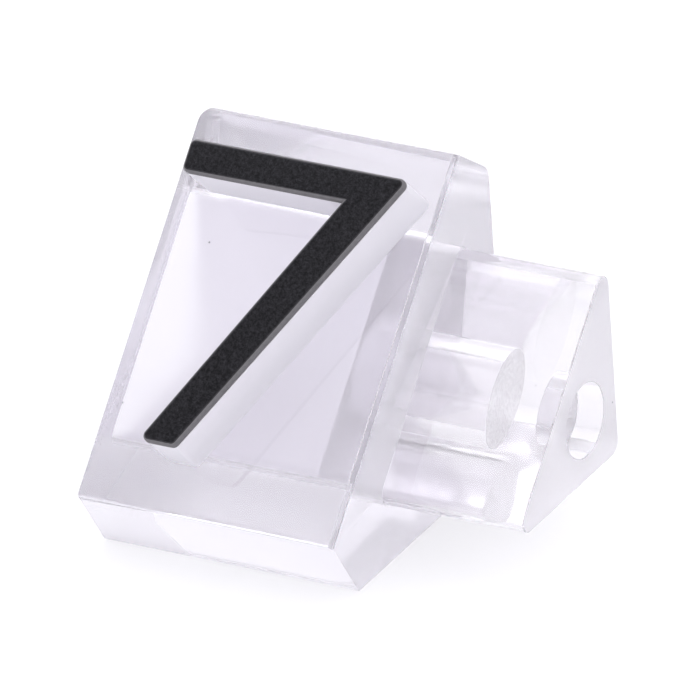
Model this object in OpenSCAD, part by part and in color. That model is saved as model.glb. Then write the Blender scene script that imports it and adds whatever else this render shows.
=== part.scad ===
// Table number holder: a clear acrylic block with a raised numeral on its sloping face,
// a triangular channel through it, and a prism-shaped connector that slides in the channel.
// X runs along the channel, Y runs to the back, Z is up.
// The origin is the centre of the face that the block rests on.

/* [Sleeve] */
// Width of the block, along the channel
sleeve_w = 32.9; // [30:0.1:60]
// Depth of the resting face, front to back
base_d = 35.2; // [35:0.1:38]
// Height of the back face
back_h = 36.8; // [36:0.1:39]
// Length of the sloping front face, bottom to top
face_l = 47.5; // [46:0.1:49]
// How far the lower lip stands out in front of the resting face
lip_out = 5.2; // [4:0.1:6]
// Height of the lower lip's edge above the resting face
lip_h = 8.2; // [7:0.1:9]
// Radius of the top rear edge
rear_edge_r = 2.5; // [0.5:0.1:3]
// Radius of the block's other long edges
edge_r = 0.4; // [0.2:0.1:0.8]
// Radius of the block's top left corner
corner_r = 1.8; // [0.5:0.1:2.4]
// Width of the bevel on the front face's right edge
bevel_w = 0.6; // [0.2:0.1:1]

/* [Connector] */
// Length of the connector's two equal sides
prism_leg = 25; // [24:0.1:25.5]
// Length of the connector
prism_l = 25; // [23:0.5:29]
// Length of the connector that sits in the channel at rest
insert_l = 7; // [4:0.5:12]
// Radius of the connector's long edges
prism_r = 1.6; // [0.6:0.1:2]
// Running gap between the connector and each side of the channel
slide_gap = 0.12; // [0.05:0.01:0.25]
// Distance of the connector's axis from the back face
axis_back = 13.1; // [12.8:0.1:14]
// Height of the connector's axis
axis_h = 14.5; // [13.5:0.1:14.8]

/* [Bores] */
// Radius of the blind bore in the connector's inner end
bore_r = 6; // [4:0.1:6.2]
// Depth of the blind bore
bore_l = 16; // [10:0.5:18]
// Radius of the shallow recess in the connector's outer end
recess_r = 4.4; // [2:0.1:5]
// Depth of the shallow recess
recess_l = 3.3; // [1:0.1:4]

/* [Numeral] */
// Width of the numeral
digit_w = 28.2; // [27:0.1:28.4]
// Height of the numeral
digit_h = 35.6; // [34:0.1:36.6]
// Thickness of the numeral's top bar
bar_t = 4; // [3:0.1:5]
// Distance of the stem's foot from the numeral's left side
foot_x = 5.2; // [3:0.1:7]
// Width of the stem's foot
foot_w = 4.7; // [4:0.1:6]
// Distance of the inside corner from the numeral's left side
inside_x = 20.7; // [20:0.1:21.5]
// Radius of the numeral's outside corners
digit_r = 0.8; // [0.3:0.1:1]
// Distance of the numeral from the front face's left edge
digit_left = 3.8; // [1:0.1:4]
// Distance of the numeral from the front face's lower edge
digit_up = 6; // [4:0.1:9]
// Thickness of the white riser under the numeral
riser_t = 6.4; // [2:0.1:8]
// Thickness of the black plate on top
plate_t = 0.8; // [0.5:0.1:2]
// Thickness of each bonding film
film_t = 0.1; // [0.05:0.01:0.2]
// How far each bonding film stays inside the numeral's outline
film_inset = 0.25; // [0.1:0.05:0.5]

/* [Hidden] */
$fn = 64;

// A right triangle with two equal sides, around a circle that touches all three of them
side_per_radius = 2 + sqrt(2);
prism_in_r = prism_leg / side_per_radius;
channel_in_r = prism_in_r + slide_gap;

// Places in the block's section
face_run = face_l * cos(45);
back_y = base_d / 2;
front_y = -base_d / 2;
lip_y = front_y - lip_out;
upper_lip_y = lip_y + face_run;
upper_lip_h = lip_h + face_run;
axis_y = back_y - axis_back;

// Places along the channel
left_x = -sleeve_w / 2;
right_x = sleeve_w / 2;
prism_x = right_x - insert_l;
prism_end_x = prism_x + prism_l;

// How far a cutting tool runs past a surface
over = 1;

// Unit vector from one point to another
function toward(from, to) = (to - from) / norm(to - from);

// Half of the angle at a corner, between its two neighbours
function half_angle(before, corner, after) =
    acos(toward(corner, before) * toward(corner, after)) / 2;

// The two ends of the arc that rounds a corner
function arc_ends(before, corner, after, r) =
    let (reach = r / tan(half_angle(before, corner, after)))
    r == 0
        ? [corner]
        : [corner + toward(corner, before) * reach, corner + toward(corner, after) * reach];

// Centre of the arc that rounds a corner
function arc_centre(before, corner, after, r) =
    let (bisector = toward(corner, before) + toward(corner, after))
    corner + bisector / norm(bisector) * r / sin(half_angle(before, corner, after));

// A polygon whose outside corners are rounded, each with its own radius, 0 for a sharp one
module rounded_polygon(points, radii) {
    count = len(points);
    flat = [
        for (i = [0 : count - 1])
            each arc_ends(points[(i + count - 1) % count], points[i], points[(i + 1) % count], radii[i])
    ];
    polygon(flat);
    for (i = [0 : count - 1])
        if (radii[i] > 0)
            let (before = points[(i + count - 1) % count], after = points[(i + 1) % count])
                translate(arc_centre(before, points[i], after, radii[i]))
                    circle(r = radii[i]);
}

// Extrudes a section drawn in Y and Z along X, from one place to another
module along_x(from, to) {
    translate([from, 0, 0])
        rotate([90, 0, 90])
            linear_extrude(to - from)
                children();
}

// A cylinder along X, on the connector's axis
module axial_hole(from, to, r) {
    translate([from, axis_y, axis_h])
        rotate([0, 90, 0])
            cylinder(r = r, h = to - from);
}

// Places children on the front face: X along its lower edge, Y up the slope, Z outward
module on_front_face() {
    translate([left_x, lip_y, lip_h])
        rotate([45, 0, 0])
            children();
}

// The block's section, with both of its acute corners cut back to a lip
module sleeve_section() {
    rounded_polygon(
        [
            [front_y, 0],
            [back_y, 0],
            [back_y, back_h],
            [upper_lip_y, upper_lip_h],
            [lip_y, lip_h]
        ],
        [edge_r, edge_r, rear_edge_r, edge_r, edge_r]
    );
}

// The triangle of the connector or the channel, around the connector's axis
module prism_section(in_r, edge) {
    side = in_r * side_per_radius;
    translate([axis_y, axis_h])
        rounded_polygon(
            [[in_r, -in_r], [in_r, side - in_r], [in_r - side, -in_r]],
            [edge, edge, edge]
        );
}

// Waste to cut off the upper lip's left end, which leaves that corner round
module top_corner_waste() {
    lip = [back_y, back_h] - [upper_lip_y, upper_lip_h];
    translate([left_x, upper_lip_y, upper_lip_h])
        rotate([atan2(lip[1], lip[0]), 0, 0])
            translate([0, -over, 0])
                difference() {
                    translate([-over, 0, -corner_r])
                        cube([corner_r + over, norm(lip) + 2 * over, corner_r + over]);
                    translate([corner_r, -over, -corner_r])
                        rotate([-90, 0, 0])
                            cylinder(r = corner_r, h = norm(lip) + 4 * over);
                }
}

// Waste to cut off the front face's right edge, which leaves a bevel
module right_bevel_waste() {
    on_front_face()
        translate([sleeve_w, -over, 0])
            rotate([0, 45, 0])
                translate([-bevel_w / 2, 0, -bevel_w])
                    cube([bevel_w, face_l + 2 * over, 2 * bevel_w]);
}

// The digit's outline, with its lower left corner at the origin
module digit_outline(inset = 0) {
    points = [
        [0, digit_h],
        [0, digit_h - bar_t],
        [inside_x, digit_h - bar_t],
        [foot_x, 0],
        [foot_x + foot_w, 0],
        [digit_w, digit_h]
    ];
    count = len(points);
    radius = digit_r - inset;
    rounded_polygon(
        [for (i = [0 : count - 1])
            inset_corner(points[(i + count - 1) % count], points[i], points[(i + 1) % count], inset)],
        [radius, radius, 0, radius, radius, radius]
    );
}

// A corner of an anticlockwise outline, moved inward by the same distance from both sides
function inset_corner(before, corner, after, inset) =
    let (
        arriving = toward(before, corner),
        leaving = toward(corner, after),
        inward = [-arriving[1] - leaving[1], arriving[0] + leaving[0]]
    )
    corner + inward * inset / (1 + arriving * leaving);

// One layer of the numeral, from one height above the front face to another
module digit_layer(from, to, inset = 0) {
    on_front_face()
        translate([digit_left, digit_up, from])
            linear_extrude(to - from)
                digit_outline(inset);
}

// Heights of the numeral's layers above the front face
riser_z = film_t;
plate_film_z = riser_z + riser_t;
plate_z = plate_film_z + film_t;

module number_sleeve() {
    color([0.86, 0.86, 0.92, 0.45])
        difference() {
            along_x(left_x, right_x) sleeve_section();
            along_x(left_x - over, right_x + over) prism_section(channel_in_r, prism_r + slide_gap);
            top_corner_waste();
            right_bevel_waste();
        }
}

module connector_prism() {
    color([0.88, 0.88, 0.94, 0.5])
        difference() {
            along_x(prism_x, prism_end_x) prism_section(prism_in_r, prism_r);
            axial_hole(prism_x - over, prism_x + bore_l, bore_r);
            axial_hole(prism_end_x - recess_l, prism_end_x + over, recess_r);
        }
}

module riser_film() {
    color([0.95, 0.95, 0.97]) digit_layer(0, riser_z, film_inset);
}

module numeral_riser() {
    color([0.94, 0.94, 0.96]) digit_layer(riser_z, plate_film_z);
}

module plate_film() {
    color([0.9, 0.9, 0.92]) digit_layer(plate_film_z, plate_z, film_inset);
}

module numeral_plate() {
    color([0.14, 0.14, 0.15]) digit_layer(plate_z, plate_z + plate_t);
}

number_sleeve();
connector_prism();
riser_film();
numeral_riser();
plate_film();
numeral_plate();
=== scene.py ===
"""Looks for the table number holder: clear acrylic, a milky riser and a grained black numeral plate."""
import math

import bmesh
import bpy
from mathutils import Matrix, Vector


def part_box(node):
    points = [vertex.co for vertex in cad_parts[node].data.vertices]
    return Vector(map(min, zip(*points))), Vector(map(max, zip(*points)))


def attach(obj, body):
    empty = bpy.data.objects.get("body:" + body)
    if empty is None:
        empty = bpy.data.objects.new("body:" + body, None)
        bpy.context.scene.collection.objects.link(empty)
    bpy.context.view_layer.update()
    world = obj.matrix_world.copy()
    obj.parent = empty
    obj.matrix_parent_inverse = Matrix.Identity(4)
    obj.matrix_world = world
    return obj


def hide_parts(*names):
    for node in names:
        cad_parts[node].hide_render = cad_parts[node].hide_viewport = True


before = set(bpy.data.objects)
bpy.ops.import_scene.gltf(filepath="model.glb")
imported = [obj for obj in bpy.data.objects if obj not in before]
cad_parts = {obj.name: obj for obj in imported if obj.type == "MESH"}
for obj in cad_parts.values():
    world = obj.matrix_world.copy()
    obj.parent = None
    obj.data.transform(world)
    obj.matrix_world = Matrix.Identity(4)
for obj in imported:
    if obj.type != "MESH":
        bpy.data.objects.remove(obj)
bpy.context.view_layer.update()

MM = 0.001

# The front face slopes back at 45 degrees: this is its outward normal.
FACE_OUT = Vector((0, -1, 1)).normalized()


# ---------------------------------------------------------------- node helpers

def new_material(name):
    """A material with an empty node tree, and the tree."""
    material = bpy.data.materials.new(name)
    material.use_nodes = True
    material.node_tree.nodes.clear()
    return material, material.node_tree


def add(tree, kind, operation=None, **values):
    """Adds a node. Values are set on the inputs of those names, with _ for a space."""
    node = tree.nodes.new(kind)
    if operation:
        node.operation = operation
    for name, value in values.items():
        node.inputs[name.replace("_", " ")].default_value = value
    return node


def maths(tree, operation, first, second=0.0):
    """The output of a Math node on sockets or numbers."""
    node = tree.nodes.new("ShaderNodeMath")
    node.operation = operation
    for socket, value in zip(node.inputs, (first, second)):
        if isinstance(value, (int, float)):
            socket.default_value = value
        else:
            tree.links.new(value, socket)
    return node.outputs[0]


def mapped(tree, value, from_low, from_high, to_low, to_high):
    """The output of a Map Range node, clamped."""
    node = add(tree, "ShaderNodeMapRange",
               From_Min=from_low, From_Max=from_high, To_Min=to_low, To_Max=to_high)
    tree.links.new(value, node.inputs["Value"])
    return node.outputs["Result"]


def object_place(tree, scale=(1, 1, 1), turn=(0, 0, 0)):
    """Coordinates in the object's own frame, scaled and turned."""
    place = tree.nodes.new("ShaderNodeTexCoord")
    mapping = add(tree, "ShaderNodeMapping", Scale=scale, Rotation=turn)
    tree.links.new(place.outputs["Object"], mapping.inputs["Vector"])
    return mapping.outputs["Vector"]


def noise(tree, place, scale, detail=3.0, roughness=0.5):
    """The value of a Noise texture."""
    node = add(tree, "ShaderNodeTexNoise", Scale=scale, Detail=detail, Roughness=roughness)
    tree.links.new(place, node.inputs["Vector"])
    return node.outputs["Fac"]


def facing(tree, direction):
    """How far the surface's flat normal points along a direction, either way, from 0 to 1."""
    geometry = tree.nodes.new("ShaderNodeNewGeometry")
    dot = add(tree, "ShaderNodeVectorMath", "DOT_PRODUCT")
    tree.links.new(geometry.outputs["True Normal"], dot.inputs[0])
    dot.inputs[1].default_value = direction
    return maths(tree, "ABSOLUTE", dot.outputs["Value"])


def bump(tree, height, distance, below=None):
    """A Bump node's normal, on top of another one if below is given."""
    node = add(tree, "ShaderNodeBump", Distance=distance, Strength=1.0)
    tree.links.new(height, node.inputs["Height"])
    if below is not None:
        tree.links.new(below, node.inputs["Normal"])
    return node.outputs["Normal"]


def finish_material(tree, shader):
    """Puts the shader on the material's surface."""
    output = tree.nodes.new("ShaderNodeOutputMaterial")
    tree.links.new(shader.outputs[0], output.inputs["Surface"])


# ---------------------------------------------------------------- materials

ACRYLIC_IOR = 1.49

# The face attribute that is 1 on the faces of channels and holes, and 0 elsewhere.
INSIDE = "inside"

# Dark specks in the acrylic: the width of their cells, and how far from its middle a speck has faded.
SPECK_SPACING = 4.5 * MM
SPECK_SIZE = 0.16 * MM

# Heights of the acrylic's relief: its slow wave, the tool lines in holes, and the frost on faces across X.
WAVE_HEIGHT = 0.05 * MM
LINE_HEIGHT = 0.003 * MM
FROST_HEIGHT = 0.0015 * MM


def specks(tree, tint, spacing, size):
    """The tint with a few tiny dark specks in it, one in some of the cells of that spacing."""
    cells = add(tree, "ShaderNodeTexVoronoi", Scale=1 / spacing)
    tree.links.new(object_place(tree), cells.inputs["Vector"])
    split = tree.nodes.new("ShaderNodeSeparateColor")
    tree.links.new(cells.outputs["Color"], split.inputs["Color"])
    chosen = maths(tree, "GREATER_THAN", split.outputs["Red"], 0.6)
    spot = mapped(tree, cells.outputs["Distance"], 0.5 * size / spacing, size / spacing, 1.0, 0.0)
    colour = add(tree, "ShaderNodeMix")
    colour.data_type = "RGBA"
    colour.inputs["A"].default_value = (*tint, 1)
    colour.inputs["B"].default_value = (0.10, 0.10, 0.11, 1)
    tree.links.new(maths(tree, "MULTIPLY", chosen, spot), colour.inputs["Factor"])
    return colour.outputs["Result"]


def clearness(tree, haze, end_haze, end, frost):
    """The transmission weight: clear but for some haze, with mottled haze on faces across X."""
    frosted = maths(tree, "MULTIPLY", end, mapped(tree, frost, 0.35, 0.65, 0.5, 1.5))
    clouded = maths(tree, "MULTIPLY", frosted, end_haze - haze)
    return maths(tree, "SUBTRACT", 1 - haze, clouded)


def wear(tree, polish, cut, sawn, end, wall, lines):
    """The roughness: outer faces, hole walls and faces across X, each patchy from lines and smears."""
    level = add(tree, "ShaderNodeMix")
    level.inputs["B"].default_value = cut
    tree.links.new(wall, level.inputs["Factor"])
    tree.links.new(mapped(tree, end, 0.0, 1.0, polish, sawn), level.inputs["A"])
    smears = noise(tree, object_place(tree, (1, 3, 3)), 90, 3)
    worn = maths(tree, "ADD", maths(tree, "MULTIPLY", lines, 0.5), maths(tree, "MULTIPLY", smears, 0.5))
    patchy = mapped(tree, worn, 0.35, 0.65, 0.75, 1.25)
    return maths(tree, "MULTIPLY", level.outputs["Result"], patchy)


def relief(tree, end, wall, lines, frost):
    """The normal: a slow wave everywhere, tool lines on hole walls and frost on faces across X."""
    wave = noise(tree, object_place(tree, (0.4, 1, 1)), 60, 1)
    waved = bump(tree, wave, WAVE_HEIGHT)
    lined = bump(tree, maths(tree, "MULTIPLY", lines, wall), LINE_HEIGHT, waved)
    return bump(tree, maths(tree, "MULTIPLY", frost, end), FROST_HEIGHT, lined)


def acrylic(name, tint, haze, end_haze, polish, cut, sawn):
    """Hazy clear acrylic. The last three are roughnesses: outer faces, hole walls and faces across X."""
    material, tree = new_material(name)
    glass = add(tree, "ShaderNodeBsdfPrincipled", IOR=ACRYLIC_IOR)
    inside = tree.nodes.new("ShaderNodeAttribute")
    inside.attribute_name = INSIDE
    end = mapped(tree, facing(tree, (1, 0, 0)), 0.9, 0.97, 0.0, 1.0)
    wall = maths(tree, "MULTIPLY", inside.outputs["Fac"], maths(tree, "SUBTRACT", 1.0, end))
    frost = noise(tree, object_place(tree), 2600, 3, 0.6)
    lines = noise(tree, object_place(tree, (0.03, 1, 1)), 2200, 2)

    tree.links.new(specks(tree, tint, SPECK_SPACING, SPECK_SIZE), glass.inputs["Base Color"])
    tree.links.new(clearness(tree, haze, end_haze, end, frost), glass.inputs["Transmission Weight"])
    tree.links.new(wear(tree, polish, cut, sawn, end, wall, lines), glass.inputs["Roughness"])
    tree.links.new(relief(tree, end, wall, lines, frost), glass.inputs["Normal"])
    finish_material(tree, glass)
    return material


def milky_acrylic(name):
    """The riser: pale satin acrylic that lets a good part of the light through."""
    material, tree = new_material(name)
    milk = add(tree, "ShaderNodeBsdfPrincipled", IOR=ACRYLIC_IOR, Transmission_Weight=0.3)
    cloud = noise(tree, object_place(tree), 120, 2)
    shade = add(tree, "ShaderNodeValToRGB")
    shade.color_ramp.elements[0].color = (0.91, 0.895, 0.94, 1)
    shade.color_ramp.elements[1].color = (0.94, 0.925, 0.97, 1)
    tree.links.new(cloud, shade.inputs["Fac"])
    tree.links.new(shade.outputs["Color"], milk.inputs["Base Color"])
    tree.links.new(mapped(tree, cloud, 0.3, 0.7, 0.38, 0.5), milk.inputs["Roughness"])
    cut = noise(tree, object_place(tree), 2200, 3)
    tree.links.new(bump(tree, cut, 0.004 * MM), milk.inputs["Normal"])
    finish_material(tree, milk)
    return material


def black_plate(name):
    """The numeral's plate: a black grained top, with a painted sheen of paler grey on rim and sides."""
    material, tree = new_material(name)
    plate = add(tree, "ShaderNodeBsdfPrincipled", IOR=1.5, Specular_IOR_Level=0.12)
    place = object_place(tree)
    coarse = noise(tree, place, 2200, 4, 0.8)
    fine = noise(tree, place, 6000, 3, 0.7)
    mottle = maths(tree, "ADD", maths(tree, "MULTIPLY", coarse, 0.6), maths(tree, "MULTIPLY", fine, 0.4))
    top = add(tree, "ShaderNodeValToRGB")
    top.color_ramp.elements[0].position = 0.42
    top.color_ramp.elements[0].color = (0.002, 0.002, 0.003, 1)
    top.color_ramp.elements[1].position = 0.66
    top.color_ramp.elements[1].color = (0.030, 0.029, 0.034, 1)
    tree.links.new(mottle, top.inputs["Fac"])
    # Painted sheen: rim and sides are coloured paler grey in place of the highlight they catch.
    edge_painted_sheen = add(tree, "ShaderNodeValToRGB")
    edge_painted_sheen.color_ramp.elements[0].color = (0.10, 0.10, 0.105, 1)
    edge_painted_sheen.color_ramp.elements[1].color = (0.22, 0.21, 0.22, 1)
    tree.links.new(coarse, edge_painted_sheen.inputs["Fac"])
    flat = mapped(tree, facing(tree, FACE_OUT), 0.93, 0.99, 0.0, 1.0)
    colour = add(tree, "ShaderNodeMix")
    colour.data_type = "RGBA"
    tree.links.new(flat, colour.inputs["Factor"])
    tree.links.new(edge_painted_sheen.outputs["Color"], colour.inputs["A"])
    tree.links.new(top.outputs["Color"], colour.inputs["B"])
    tree.links.new(colour.outputs["Result"], plate.inputs["Base Color"])
    tree.links.new(mapped(tree, coarse, 0.3, 0.7, 0.45, 0.62), plate.inputs["Roughness"])
    rough_top = maths(tree, "MULTIPLY", mottle, flat)
    tree.links.new(bump(tree, rough_top, 0.03 * MM), plate.inputs["Normal"])
    finish_material(tree, plate)
    return material


def bonding_film(name):
    """A thin pale film of dried adhesive."""
    material, tree = new_material(name)
    film = add(tree, "ShaderNodeBsdfPrincipled", Roughness=0.3, IOR=1.5)
    blotch = noise(tree, object_place(tree), 500, 3)
    shade = add(tree, "ShaderNodeValToRGB")
    shade.color_ramp.elements[0].color = (0.72, 0.72, 0.76, 1)
    shade.color_ramp.elements[1].color = (0.88, 0.88, 0.92, 1)
    tree.links.new(blotch, shade.inputs["Fac"])
    tree.links.new(shade.outputs["Color"], film.inputs["Base Color"])
    tree.links.new(bump(tree, blotch, 0.01 * MM), film.inputs["Normal"])
    finish_material(tree, film)
    return material


# ---------------------------------------------------------------- detailed pieces

# Corners closer than this are welded, and faces at less than this angle are joined.
WELD_DISTANCE = 0.0005 * MM
FLAT_DEGREES = 0.4

# Edges above the first angle are rounded, and those above the second stay crisp in the shading.
SHARP_DEGREES = 35
CRISP_DEGREES = 24

# A face is inside when some corner of its piece stands this far in front of it.
INSIDE_REACH = 0.5 * MM

# Width of the rounding along the plate's top edge.
PLATE_EDGE = 0.4 * MM


def clean_copy(node, name):
    """A welded copy of a CAD node, with its flat faces joined up, and its bmesh."""
    piece = bpy.data.objects.new(name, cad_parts[node].data.copy())
    bpy.context.scene.collection.objects.link(piece)
    mesh = bmesh.new()
    mesh.from_mesh(piece.data)
    bmesh.ops.remove_doubles(mesh, verts=mesh.verts, dist=WELD_DISTANCE)
    flat = math.radians(FLAT_DEGREES)
    bmesh.ops.dissolve_limit(mesh, angle_limit=flat, verts=mesh.verts, edges=mesh.edges)
    return piece, mesh


def mark_inside(mesh):
    """Marks the faces of channels and holes: some corner of the piece stands in front of them."""
    layer = mesh.faces.layers.float.new(INSIDE)
    corners = [v.co.copy() for v in mesh.verts]
    for face in mesh.faces:
        normal, middle = face.normal, face.calc_center_median()
        reach = max((corner - middle).dot(normal) for corner in corners)
        face[layer] = 1.0 if reach > INSIDE_REACH else 0.0


def rounded(mesh, edges, width, segments):
    """Rounds those edges."""
    bmesh.ops.bevel(mesh, geom=list(edges), offset=width, offset_type="OFFSET", segments=segments,
                    profile=0.5, affect="EDGES", clamp_overlap=True)


def sharp_edges(mesh):
    """The edges where two faces meet sharply."""
    limit = math.radians(SHARP_DEGREES)
    return [e for e in mesh.edges if len(e.link_faces) == 2 and e.calc_face_angle(0) > limit]


def close_piece(piece, mesh, node, material, body):
    """Writes the mesh back, shades it smooth, and makes the piece stand for its CAD node."""
    bmesh.ops.recalc_face_normals(mesh, faces=mesh.faces)
    mesh.to_mesh(piece.data)
    mesh.free()
    piece.data.materials.clear()
    piece.data.materials.append(material)
    piece.data.shade_smooth()
    piece.data.set_sharp_from_angle(angle=math.radians(CRISP_DEGREES))
    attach(piece, body)
    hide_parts(node)
    return piece


def block_piece(node, name, material, body, edge_width):
    """A CAD node with its sharp edges broken, as polishing leaves them."""
    piece, mesh = clean_copy(node, name)
    mark_inside(mesh)
    rounded(mesh, sharp_edges(mesh), edge_width, 2)
    return close_piece(piece, mesh, node, material, body)


def plate_piece(material):
    """The black plate, with its top edge rounded nearly down to the film."""
    piece, mesh = clean_copy("numeral_plate", "black_numeral")
    top = max(v.co.dot(FACE_OUT) for v in mesh.verts)
    rim = [e for e in sharp_edges(mesh)
           if all(top - v.co.dot(FACE_OUT) < 0.001 * MM for v in e.verts)]
    rounded(mesh, rim, PLATE_EDGE, 4)
    return close_piece(piece, mesh, "numeral_plate", material, "block")


# ---------------------------------------------------------------- stage, light and camera

def floor():
    """A plain pale floor, just under the resting face."""
    bpy.ops.mesh.primitive_plane_add(size=20, location=(0, 0, -0.15 * MM))
    plane = bpy.context.object
    plane.name = "floor"
    material, tree = new_material("floor_white")
    paper = add(tree, "ShaderNodeBsdfPrincipled", Roughness=0.7, Specular_IOR_Level=0.2,
                Base_Color=(0.58, 0.58, 0.59, 1), Emission_Color=(1, 1, 1, 1), Emission_Strength=0.34)
    finish_material(tree, paper)
    plane.data.materials.append(material)


def sky():
    """A soft pale surround, brighter overhead, like the inside of a light tent."""
    world = bpy.data.worlds.new("studio")
    bpy.context.scene.world = world
    world.use_nodes = True
    tree = world.node_tree
    tree.nodes.clear()
    place = tree.nodes.new("ShaderNodeTexCoord")
    split = tree.nodes.new("ShaderNodeSeparateXYZ")
    tree.links.new(place.outputs["Generated"], split.inputs[0])
    ramp = add(tree, "ShaderNodeValToRGB")
    low, high = ramp.color_ramp.elements
    low.position, low.color = 0.0, (0.90, 0.89, 0.93, 1)
    high.position, high.color = 0.7, (1.18, 1.17, 1.22, 1)
    tree.links.new(split.outputs["Z"], ramp.inputs["Fac"])
    back = add(tree, "ShaderNodeBackground", Strength=1.0)
    tree.links.new(ramp.outputs["Color"], back.inputs["Color"])
    output = tree.nodes.new("ShaderNodeOutputWorld")
    tree.links.new(back.outputs[0], output.inputs["Surface"])


# Where the lamps point, in metres.
LAMP_TARGET = Vector((0, 0, 0.02))


def softbox(name, direction, distance, size, power):
    """A square area light that looks at the object and casts no shadow."""
    light = bpy.data.lights.new(name, "AREA")
    light.shape = "SQUARE"
    light.size = size
    light.energy = power
    light.use_shadow = False
    lamp = bpy.data.objects.new(name, light)
    bpy.context.scene.collection.objects.link(lamp)
    away = Vector(direction).normalized()
    lamp.location = LAMP_TARGET + away * distance
    lamp.rotation_mode = "QUATERNION"
    lamp.rotation_quaternion = away.to_track_quat("Z", "Y")


def camera():
    """A long lens from the front right, a little above, turned slightly."""
    azimuth, elevation, roll = (math.radians(a) for a in (30.59, 27.35, 3.94))
    distance = 1.9347
    low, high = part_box("number_sleeve")
    middle = (low + high) / 2
    target = middle + Vector((7.5, 1.8, -0.1)) * MM
    forward = Vector((-math.sin(azimuth) * math.cos(elevation),
                      math.cos(azimuth) * math.cos(elevation),
                      -math.sin(elevation)))
    lens = bpy.data.cameras.new("camera")
    lens.lens = 881
    lens.sensor_width = 36
    lens.clip_start, lens.clip_end = 0.05, 50
    eye = bpy.data.objects.new("camera", lens)
    bpy.context.scene.collection.objects.link(eye)
    eye.location = target - forward * distance
    eye.rotation_mode = "QUATERNION"
    turn = Matrix.Rotation(roll, 3, forward) @ forward.to_track_quat("-Z", "Y").to_matrix()
    eye.rotation_quaternion = turn.to_quaternion()
    bpy.context.scene.camera = eye


def light_paths():
    """Enough bounces for several clear walls, and plain display colours."""
    scene = bpy.context.scene
    scene.cycles.max_bounces = 16
    scene.cycles.transmission_bounces = 16
    scene.cycles.glossy_bounces = 12
    scene.cycles.diffuse_bounces = 5
    scene.cycles.sample_clamp_indirect = 8
    scene.view_settings.view_transform = "Standard"


sleeve_look = acrylic("sleeve_acrylic", (0.890, 0.872, 0.918),
                      haze=0.12, end_haze=0.18, polish=0.05, cut=0.45, sawn=0.12)
connector_look = acrylic("connector_acrylic", (0.960, 0.946, 0.975),
                         haze=0.12, end_haze=0.32, polish=0.06, cut=0.18, sawn=0.45)
film_look = bonding_film("bond_film")

block_piece("number_sleeve", "clear_sleeve", sleeve_look, "block", 0.18 * MM)
block_piece("connector_prism", "clear_connector", connector_look, "connector", 0.2 * MM)
block_piece("numeral_riser", "milky_riser", milky_acrylic("riser_white"), "block", 0.08 * MM)
plate_piece(black_plate("plate_black"))
for node in ("riser_film", "plate_film"):
    cad_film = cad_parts[node]
    cad_film.data.materials.clear()
    cad_film.data.materials.append(film_look)

floor()
sky()
softbox("top_rear", (-0.45, 0.35, 0.85), 0.8, 0.8, 2.4)
softbox("front_right", (0.9, -0.7, 0.35), 0.9, 0.5, 0.6)
light_paths()
camera()
